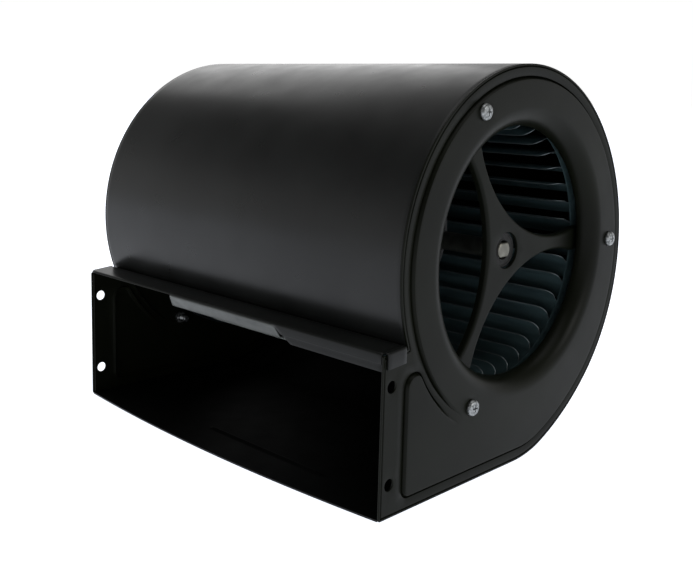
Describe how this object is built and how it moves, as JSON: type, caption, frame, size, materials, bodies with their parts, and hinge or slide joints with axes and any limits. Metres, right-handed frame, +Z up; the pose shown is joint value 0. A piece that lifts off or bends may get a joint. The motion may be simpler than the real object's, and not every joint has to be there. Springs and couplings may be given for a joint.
{
  "type": "centrifugal blower",
  "caption": "Centrifugal blower with a sheet-metal scroll housing, rectangular outlet, spider motor brackets and a directly driven impeller.",
  "frame": {"origin": "centre of the bounding box at the flat bottom that the blower stands on", "axes": "+X along the motor shaft, -Y out of the rectangular outlet, +Z up from the flat bottom"},
  "size_m": [0.3006, 0.253, 0.2493],
  "materials": {
    "housing_paint": "satin black paint on pressed sheet steel",
    "bracket_paint": "satin black paint, a little duller than the housing",
    "zinc_plate": "bright zinc plate",
    "black_rubber": "matt moulded rubber",
    "shaft_steel": "ground steel",
    "lamination_steel": "stacked laminations",
    "copper_wire": "varnished copper wire",
    "cast_rotor": "dark coated casting",
    "blade_sheet": "dark coated thin sheet with bright pressed edges"
  },
  "bodies": {
    "housing": {"scroll_wrap": "housing_paint", "side_plate_right": "housing_paint", "side_plate_left": "housing_paint", "outlet_ledge": "housing_paint", "cutoff_plate": "housing_paint", "motor_bracket_right": "bracket_paint", "motor_bracket_left": "bracket_paint", "bracket_screw_1_right": "zinc_plate", "bracket_screw_2_right": "zinc_plate", "bracket_screw_3_right": "zinc_plate", "bracket_screw_1_left": "zinc_plate", "bracket_screw_2_left": "zinc_plate", "bracket_screw_3_left": "zinc_plate", "bracket_nut_1_right": "zinc_plate", "bracket_nut_2_right": "zinc_plate", "bracket_nut_3_right": "zinc_plate", "bracket_nut_1_left": "zinc_plate", "bracket_nut_2_left": "zinc_plate", "bracket_nut_3_left": "zinc_plate", "shaft_bush_right": "black_rubber", "shaft_bush_left": "black_rubber", "shaft_clip_right": "shaft_steel", "shaft_clip_left": "shaft_steel", "motor_shaft": "shaft_steel", "stator_core": "lamination_steel", "stator_winding_right": "copper_wire", "stator_winding_left": "copper_wire", "bearing_inner_ring_right": "shaft_steel", "bearing_inner_ring_left": "shaft_steel"},
    "impeller": {"impeller_disc": "blade_sheet", "impeller_blades_right": "blade_sheet", "impeller_blades_left": "blade_sheet", "impeller_rim_right": "blade_sheet", "impeller_rim_left": "blade_sheet", "disc_screw_1": "zinc_plate", "disc_screw_2": "zinc_plate", "disc_screw_3": "zinc_plate", "disc_screw_4": "zinc_plate", "rotor_shell": "cast_rotor", "rotor_end_cap": "cast_rotor", "rotor_core": "lamination_steel", "bearing_outer_ring_right": "shaft_steel", "bearing_outer_ring_left": "shaft_steel"},
    "bearing_cages": {"bearing_ball_cage_right": "shaft_steel", "bearing_ball_cage_left": "shaft_steel"}
  },
  "joints": [
    {"name": "impeller_spin", "type": "hinge", "parent": "housing", "child": "impeller", "pos_m": [0, 0.00846, 0.134], "axis": [1, 0, 0], "continuous": true},
    {"name": "cage_spin", "type": "hinge", "parent": "housing", "child": "bearing_cages", "pos_m": [0, 0.00846, 0.134], "axis": [1, 0, 0], "continuous": true}
  ],
  "couplings": [
    {"joint": "cage_spin", "follows": "impeller_spin", "ratio": 0.4}
  ]
}
